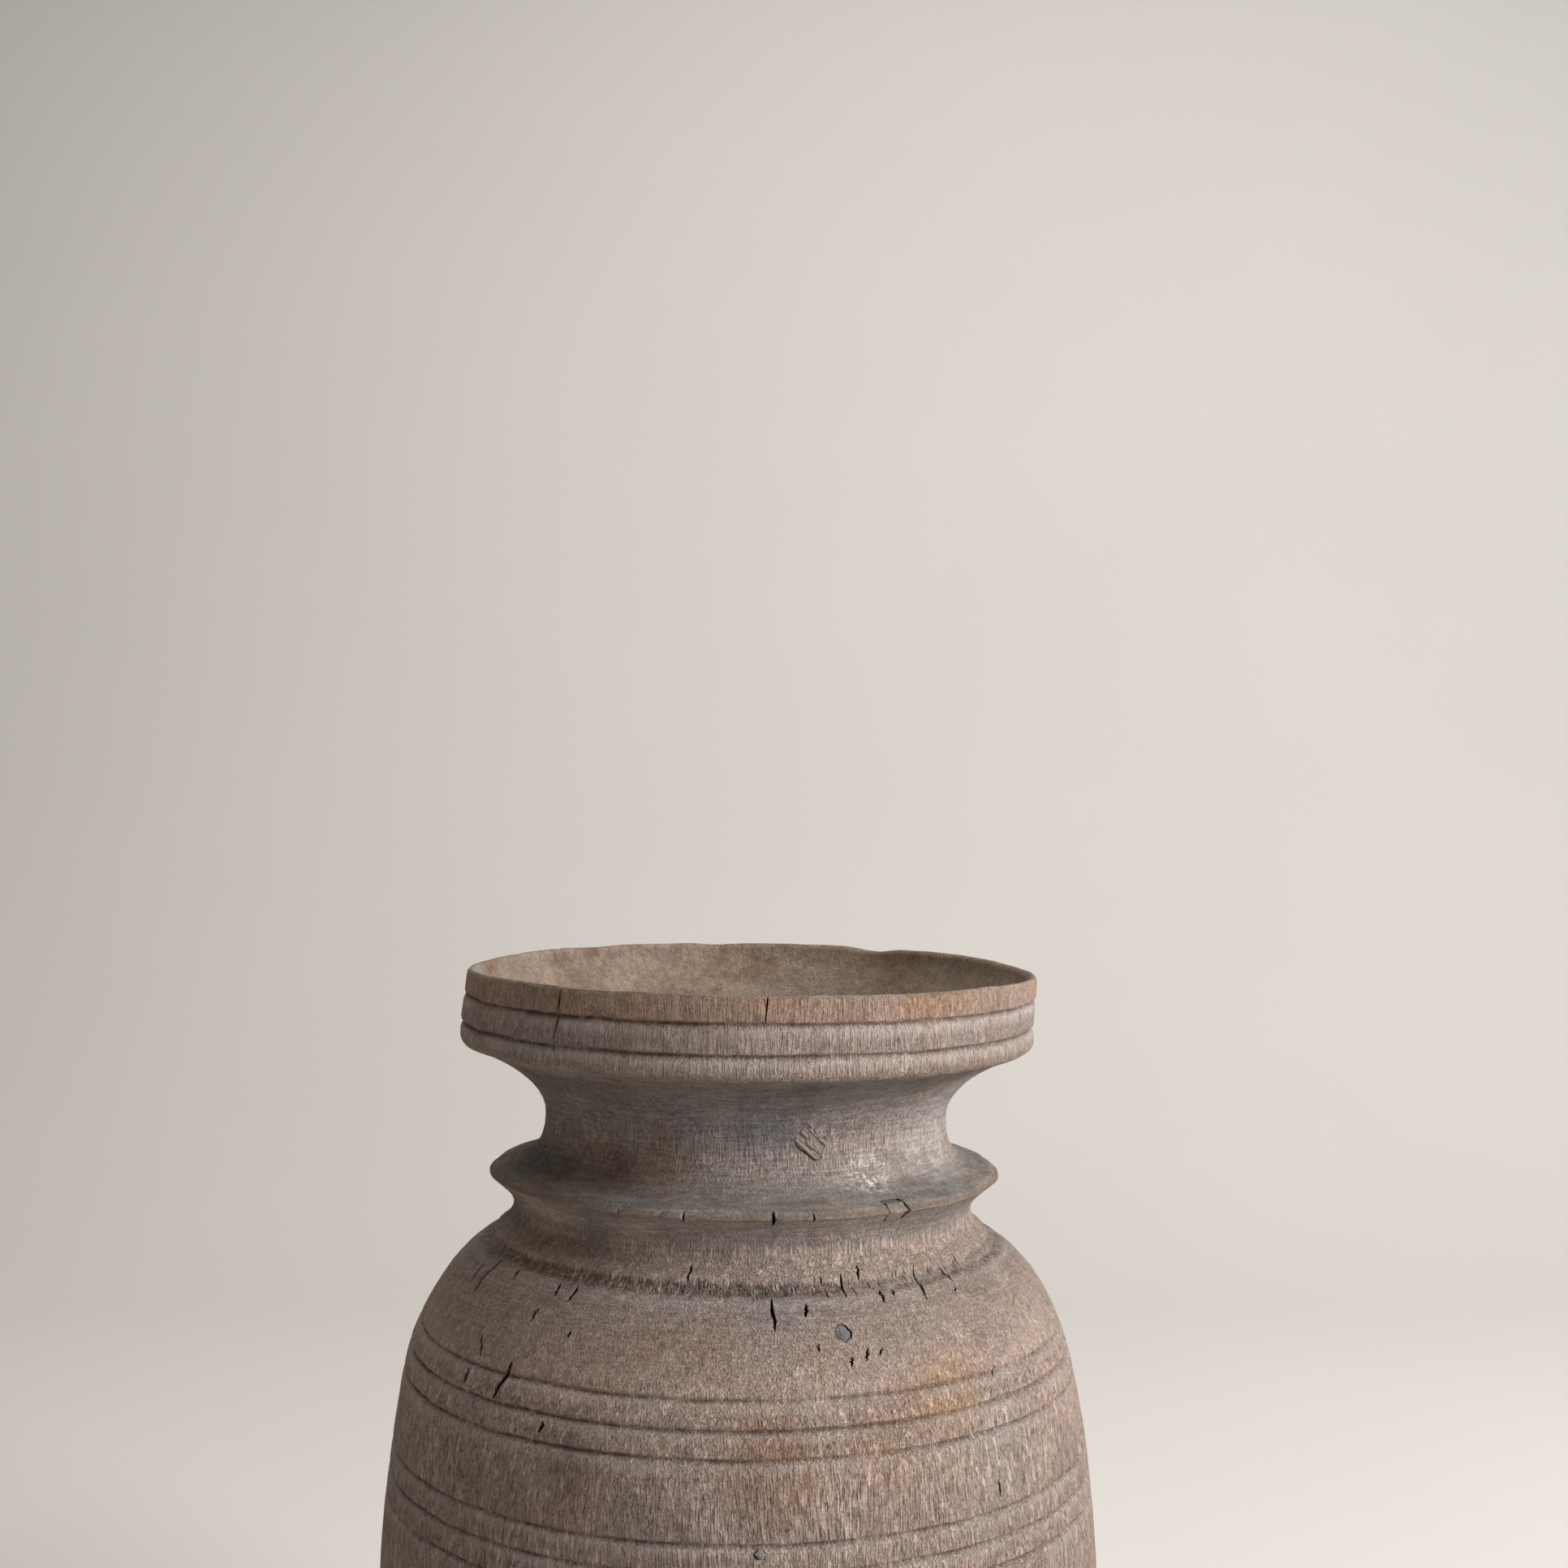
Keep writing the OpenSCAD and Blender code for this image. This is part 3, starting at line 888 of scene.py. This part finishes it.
# Stains and bleached places: bearing, drop, reach in mm, strength, colour.
STAINS = [
    (6, 146, 26, 0.74, (0.288, 0.158, 0.0864)),
    (36, 130, 22, 0.68, (0.43, 0.27, 0.155)),
    (22, 142, 16, 0.54, (0.38, 0.235, 0.14)),
    (-8, 173, 15, 0.6, (0.215, 0.155, 0.13)),
    (54, 17, 26, 0.5, (0.205, 0.165, 0.148)),
    (-48, 77, 15, 0.6, (0.1, 0.08, 0.065)),
    (-22, 90, 20, 0.5, (0.52, 0.41, 0.35)),
    (-60, 67, 18, 0.5, (0.32, 0.28, 0.26)),
    (50, 69, 14, 0.4, (0.13, 0.125, 0.118)),
    (14, 128, 15, 0.4, (0.46, 0.365, 0.31)),
    (-34, 66, 16, 0.45, (0.238, 0.13, 0.0864)),
    (-20, 60, 14, 0.25, (0.274, 0.158, 0.115)),
    (5, 47, 17, 0.81, (0.173, 0.173, 0.187)),
    (-14, 44, 15, 0.61, (0.166, 0.162, 0.173)),
    (34, 40, 16, 0.47, (0.202, 0.194, 0.194)),
    (8, 103, 18, 0.61, (0.259, 0.23, 0.238)),
    (-12, 104, 14, 0.41, (0.259, 0.23, 0.23)),
    (-25, 150, 16, 0.61, (0.18, 0.137, 0.115)),
    (-14, 162, 16, 0.61, (0.202, 0.158, 0.137)),
    (5, 160, 12, 0.41, (0.238, 0.151, 0.108)),
    (48, 152, 26, 0.45, (0.382, 0.331, 0.302)),
    (28, 118, 16, 0.25, (0.36, 0.295, 0.259)),
    (62, 46, 34, 0.6, (0.42, 0.4, 0.385)),
    (-50, 93, 30, 0.62, (0.52, 0.395, 0.32)),
    (-45, 60, 16, 0.6, (0.43, 0.335, 0.27)),
    (24, 6, 5, 0.5, (0.259, 0.144, 0.072)),
    (31, 5, 7, 0.4, (0.302, 0.166, 0.0792)),
    (150, 140, 40, 0.54, (0.216, 0.151, 0.115)),
    (-110, 160, 30, 0.47, (0.302, 0.187, 0.115)),
    (110, 180, 40, 0.35, (0.374, 0.324, 0.288)),
    (170, 50, 22, 0.61, (0.18, 0.176, 0.184)),
]

# Chalk on the neck, which shows as specks, in the same way.
CHALK_STAINS = [
    (34, 64, 12, 0.95, (0.7, 0.66, 0.63)),
    (52, 62, 9, 0.6, (0.6, 0.55, 0.52)),
]

# The dish inside: bearing, radius from the axis, drop, reach in mm, strength, colour.
DISH_STAINS = [
    (-82, 94, 12, 34, 0.9, (0.245, 0.235, 0.225)),
    (-168, 84, 21, 11, 0.55, (0.17, 0.085, 0.06)),
    (118, 92, 14, 46, 0.7, (0.25, 0.195, 0.13)),
    (150, 98, 8, 26, 0.5, (0.2, 0.15, 0.1)),
    (-125, 84, 22, 40, 0.4, (0.115, 0.085, 0.062)),
    (-138, 90, 16, 9, 0.45, (0.15, 0.11, 0.085)),
    (70, 96, 12, 34, 0.6, (0.27, 0.21, 0.145)),
]


def by_drop(nodes, level, table):
    """A colour or a share that changes down the wall, from a table of drops in mm."""
    return nodes.ramp(level, [
        (1 - drop * MM / top_z, value if isinstance(value, tuple) else (value,) * 3)
        for drop, value in table])


def stained(nodes, colour, spots, ragged):
    """Lays soft, ragged stains over a colour, each one round its own middle."""
    for middle, reach, strength, tint in spots:
        far = nodes.vector("DISTANCE", ragged, tuple(middle))
        amount = nodes.remap(far, reach * MM * 0.25, reach * MM, strength, 0.0)
        colour = nodes.mix(amount, colour, tint)
    return colour


def on_wall(wall, stains):
    """Stains with their bearing and drop turned into a point on the wall."""
    return [(wall.at(bearing, drop), reach, strength, tint)
            for bearing, drop, reach, strength, tint in stains]


def outside_colour(n, wall, level, ragged):
    """Bands of colour down the wall, under stains and specks of chalk."""
    colour = stained(n, by_drop(n, level, BAND_COLOURS), on_wall(wall, STAINS), ragged)
    specks = n.remap(n.noise((420, 420, 420), 4.0, 0.7, 17.0), 0.47, 0.6)
    return n.mix(specks, colour, stained(n, colour, on_wall(wall, CHALK_STAINS), ragged))


def dish_colour(n, z, ragged):
    """Brown, blotched wood inside the dish, plainer down the throat."""
    colour = n.mix(n.remap(n.noise((30, 30, 60), 3), 0.35, 0.68), (0.125, 0.087, 0.059),
                   (0.17, 0.124, 0.088))
    colour = n.tinted(colour, n.noise((150, 150, 220), 4, 0.65, 5.0), 0.36, 0.66, 0.6,
                      (0.3, 0.23, 0.17))
    colour = n.tinted(colour, n.noise((900, 900, 1100), 2, 0.6, 2.0), 0.5, 0.7, 0.5,
                      (0.1, 0.07, 0.048))
    spots = [(at_bearing(bearing, r * MM, up(drop)), reach, strength, tint)
             for bearing, r, drop, reach, strength, tint in DISH_STAINS]
    return n.mix(n.remap(z, up(60), up(34)), (0.13, 0.098, 0.072),
                 stained(n, colour, spots, ragged))


def vessel_wood(wall):
    """Bleached, sand-worn hardwood with upright grain, open pores and chalk in its grooves."""
    n = Nodes("vessel_wood")
    z, hollow = n.height(), n.attribute("hollow")
    drift = n.vector("SUBTRACT", n.noise_colour(14, 1.0), (0.5, 0.5, 0.5))
    place = n.vector("ADD", n.place, n.vector("MULTIPLY", drift, (0.012, 0.012, 0.0)))
    ragged = n.vector("SUBTRACT", n.shaken(75, 4.0, 0.016), (0.008, 0.008, 0.008))
    wobble = n.times(n.math("SUBTRACT", n.noise((60, 60, 200), 3), 0.5), 0.006)
    level = n.math("DIVIDE", n.math("ADD", z, wobble), top_z)

    # Broad colour: bands, stains and the dish, then pale, warm and dark patches.
    colour = n.mix(hollow, outside_colour(n, wall, level, ragged), dish_colour(n, z, ragged))
    colour = n.tinted(colour, n.noise((26, 26, 18), 5, 0.62, 3.0), 0.34, 0.7, 0.42,
                      (0.345, 0.29, 0.268))
    colour = n.tinted(colour, n.noise((38, 38, 22), 4, 0.6, 9.0), 0.52, 0.74, 0.4,
                      (0.29, 0.18, 0.118))
    colour = n.tinted(colour, n.noise((55, 55, 40), 4, 0.6, 12.0), 0.54, 0.74, 0.34,
                      (0.18, 0.145, 0.125))

    # Grain: upright fibres, grit, mottling, level lathe lines and dark pores.
    quiet = n.math("SUBTRACT", 1.0, n.times(hollow, 0.75))
    stringy = n.times(quiet, by_drop(n, level, STRINGY))
    fibre = n.noise((1700, 1700, 210), 3.0, 0.6, place=place)
    coarse = n.noise((620, 620, 80), 2.0, 0.5, 15.0, place=place)
    fleck = n.remap(n.math("ADD", n.times(fibre, 0.55), n.times(coarse, 0.45)), 0.38, 0.62)
    colour = n.grained(colour, n.times(stringy, 0.55), fleck, (0.27,) * 3, (0.73,) * 3)
    grit = n.noise((1500, 1500, 1100), 3.0, 0.7, 31.0)
    colour = n.grained(colour, 0.42, n.remap(grit, 0.34, 0.66), (0.22,) * 3, (0.78,) * 3)
    mottle = n.noise((330, 330, 260), 4.0, 0.65, 44.0)
    colour = n.grained(colour, 0.3, n.remap(mottle, 0.34, 0.66), (0.26, 0.25, 0.25),
                       (0.74,) * 3)
    streak = n.noise((75, 75, 1000), 3.0, 0.6, 21.0)
    scraped = n.times(by_drop(n, level, TURNED), quiet)
    colour = n.grained(colour, n.times(scraped, 0.34), n.remap(streak, 0.36, 0.64),
                       (0.24, 0.24, 0.245), (0.76, 0.76, 0.755))
    pores = n.noise((1900, 1900, 220), 1.0, 0.5, 4.0, place=place)
    clumps = n.noise((170, 170, 70), 2.0, 0.5, 6.0)
    dark = n.times(n.remap(pores, 0.57, 0.66), n.remap(clumps, 0.34, 0.58))
    colour = n.mix(n.times(n.times(dark, stringy), 0.7), colour, (0.1, 0.065, 0.047))

    # Wear and painted shade: chalk beside the grooves, the collar's edge, painted shade in the
    #     # grooves, under the collar and in the cuts, and torn wood.
    crease, chalk, torn = n.attribute("crease"), n.attribute("chalk"), n.attribute("torn")
    powder = n.times(chalk, n.remap(n.noise((420, 420, 200), 3, 0.6, 2.0), 0.28, 0.52))
    powder = n.times(powder, n.remap(n.noise((26, 26, 30), 2, 0.5, 8.0), 0.24, 0.48))
    colour = n.mix(n.times(powder, 0.72), colour, (0.49, 0.44, 0.415))
    colour = n.mix(n.times(n.attribute("edge"), n.remap(mottle, 0.3, 0.6, 0.4, 0.85)),
                   colour, n.mix(fleck, (0.155, 0.11, 0.08), (0.26, 0.195, 0.15)))
    # Painted shade in the grooves and under the collar's edge, darkest on the grooves' upper walls.
    crease_shade = n.times(n.remap(crease, 0.25, 0.95),
                    n.remap(n.noise((300, 300, 60), 2, 0.5, 5.0), 0.25, 0.7, 0.45, 1.0))
    colour = n.mix(n.times(crease_shade, 0.62), colour, (0.098, 0.068, 0.05))
    tick = n.remap(n.noise((780, 780, 70), 2.0, 0.6, 27.0, place=place), 0.38, 0.6)
    # Torn shoulder groove: darker torn fibres, plus painted shade in the groove's recess.
    torn_and_shade = n.times(n.remap(torn, 0.15, 0.75), n.remap(tick, 0.0, 1.0, 1.0, 0.4))
    colour = n.mix(n.times(torn_and_shade, 0.66), colour, (0.105, 0.069, 0.046))
    # Painted shade inside the splits, torn fibres and knot sockets, darker the deeper the cut.
    colour = n.mix(n.remap(n.attribute("cut"), 0.07, 0.28), colour, (0.026, 0.018, 0.013))

    ribs = n.math("SUBTRACT", fleck, n.times(n.remap(pores, 0.56, 0.68), 0.8))
    relief = n.relief(n.times(ribs, stringy), 0.00085)
    relief = n.relief(n.times(tick, torn), 0.001, 1.0, relief)
    relief = n.relief(n.times(streak, n.math("ADD", scraped, 0.15)), 0.00045, 0.8, relief)
    relief = n.relief(grit, 0.00022, 0.8, relief)
    relief = n.relief(n.noise((800, 800, 600), 3.0, 0.6), 0.00016, 0.7, relief)
    return n.finish(colour, relief, 0.85, 0.2)


def knot_wood(name, middle, reach, heart, rim, slant):
    """Dead knot wood from heart colour to rim colour, with rings and dark flecks.

    The flecks are drawn out upright where slant is less than 1.
    """
    n = Nodes(name)
    far = n.vector("DISTANCE", n.shaken(420, 2.0, 0.0016), tuple(middle))
    rings = n.math("SINE", n.times(far, 2 * pi / (reach * 0.34)))
    colour = n.mix(n.remap(far, reach * 0.2, reach * 1.05), heart, rim)
    colour = n.tinted(colour, rings, -0.2, 1.0, 0.22, tuple(c * 0.6 for c in heart))
    grain = n.noise((1300, 1300, 1300 * slant), 3, 0.6)
    colour = n.tinted(colour, grain, 0.52, 0.68, 0.55, (0.07, 0.05, 0.04))
    return n.finish(colour, n.relief(grain, 0.0004), 0.85, 0.2)


def plain_paint(name, colour):
    """A dull, almost even paint."""
    n = Nodes(name)
    mottle = n.remap(n.noise((3, 3, 3), 2), 0.3, 0.7)
    shade = n.mix(mottle, tuple(c * 0.985 for c in colour), colour)
    return n.finish(shade, None, 0.95, 0.1)


# ---------------- stage


def backdrop(colour):
    """A pale floor that sweeps up into a pale wall well behind the pot."""
    front, bend_y, bend_r, height, half = -4.0, 1.0, 0.9, 3.4, 4.0
    line = [(front, 0.0), (bend_y, 0.0)]
    line += [(bend_y + bend_r * sin(t), bend_r * (1 - cos(t)))
             for t in np.linspace(0, pi / 2, 25)[1:]]
    line.append((bend_y + bend_r, height))
    verts = [(x, y, z) for y, z in line for x in (-half, half)]
    faces = [(2 * i, 2 * i + 1, 2 * i + 3, 2 * i + 2) for i in range(len(line) - 1)]
    mesh = bpy.data.meshes.new("backdrop")
    mesh.from_pydata(verts, [], faces)
    obj = add_object("backdrop", mesh)
    mesh.shade_smooth()
    mesh.materials.append(plain_paint("plaster", colour))


def area_light(name, place, aim, size, watts, colour):
    """A square lamp at place that faces aim."""
    data = bpy.data.lights.new(name, "AREA")
    data.shape, data.size, data.energy, data.color = "SQUARE", size, watts, colour
    obj = add_object(name, data)
    obj.location = place
    obj.rotation_euler = (Vector(aim) - Vector(place)).to_track_quat("-Z", "Y").to_euler()


def studio():
    """Daylight from the right, weak fill, a plain backdrop, and the camera."""
    backdrop((0.7, 0.695, 0.68))
    middle = (0, 0, 0.25)
    area_light("window", (1.88, -0.82, 1.12), middle, 1.5, 78, (1.0, 0.965, 0.935))
    area_light("ceiling", (-0.1, 0.2, 2.0), middle, 2.0, 22, (1.0, 0.93, 0.85))
    area_light("bounce", (-1.5, -1.4, 0.7), middle, 1.6, 0.9, (1.0, 0.8, 0.62))
    world = bpy.data.worlds.new("room")
    bpy.context.scene.world = world
    world.use_nodes = True
    glow = world.node_tree.nodes["Background"].inputs
    glow["Color"].default_value = (1.0, 0.88, 0.77, 1)
    glow["Strength"].default_value = 0.078
    bpy.context.scene.view_settings.view_transform = "Standard"
    data = bpy.data.cameras.new("camera")
    data.lens, data.sensor_width = 47.5, 36.0
    data.clip_start = 0.02
    camera = add_object("camera", data)
    camera.location = (16.8 * MM, -0.78, top_z + 69.7 * MM)
    camera.rotation_euler = (radians(90), 0, 0)
    bpy.context.scene.camera = camera


# ---------------- assembly

# Each knot's colour at its heart and its rim, and how short its flecks are.
KNOT_COLOURS = {
    "neck_knot": ((0.3, 0.25, 0.225), (0.275, 0.235, 0.215), 0.7),
    "flange_knot": ((0.32, 0.245, 0.205), (0.2, 0.187, 0.171), 0.25),
    "shoulder_knot": ((0.1, 0.105, 0.125), (0.17, 0.165, 0.17), 1.0),
    "belly_knot": ((0.06, 0.055, 0.06), (0.27, 0.24, 0.225), 1.0),
}

wall = Wall()
vessel = build_vessel(wall)
carve(vessel, build_cutter(wall))
smooth(vessel, sharp_over=42)
vessel.data.materials.append(vessel_wood(wall))
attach(vessel, "root")
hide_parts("vessel")

knots = {node: (build_knot(wall, node, knot), wall.at(knot["at"], knot["drop"], -1),
                max(knot["w"], knot["h"]) * MM) for node, knot in KNOTS.items()}
knots["flange_knot"] = (build_collar_knot(wall), wall.at(COLLAR_KNOT["at"], COLLAR_DROP),
                        COLLAR_KNOT["reach"] * MM)
for node, (piece, middle, reach) in knots.items():
    heart, rim, slant = KNOT_COLOURS[node]
    piece.data.materials.append(knot_wood(piece.name, middle, reach, heart, rim, slant))
    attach(piece, "root")
    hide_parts(node)

studio()
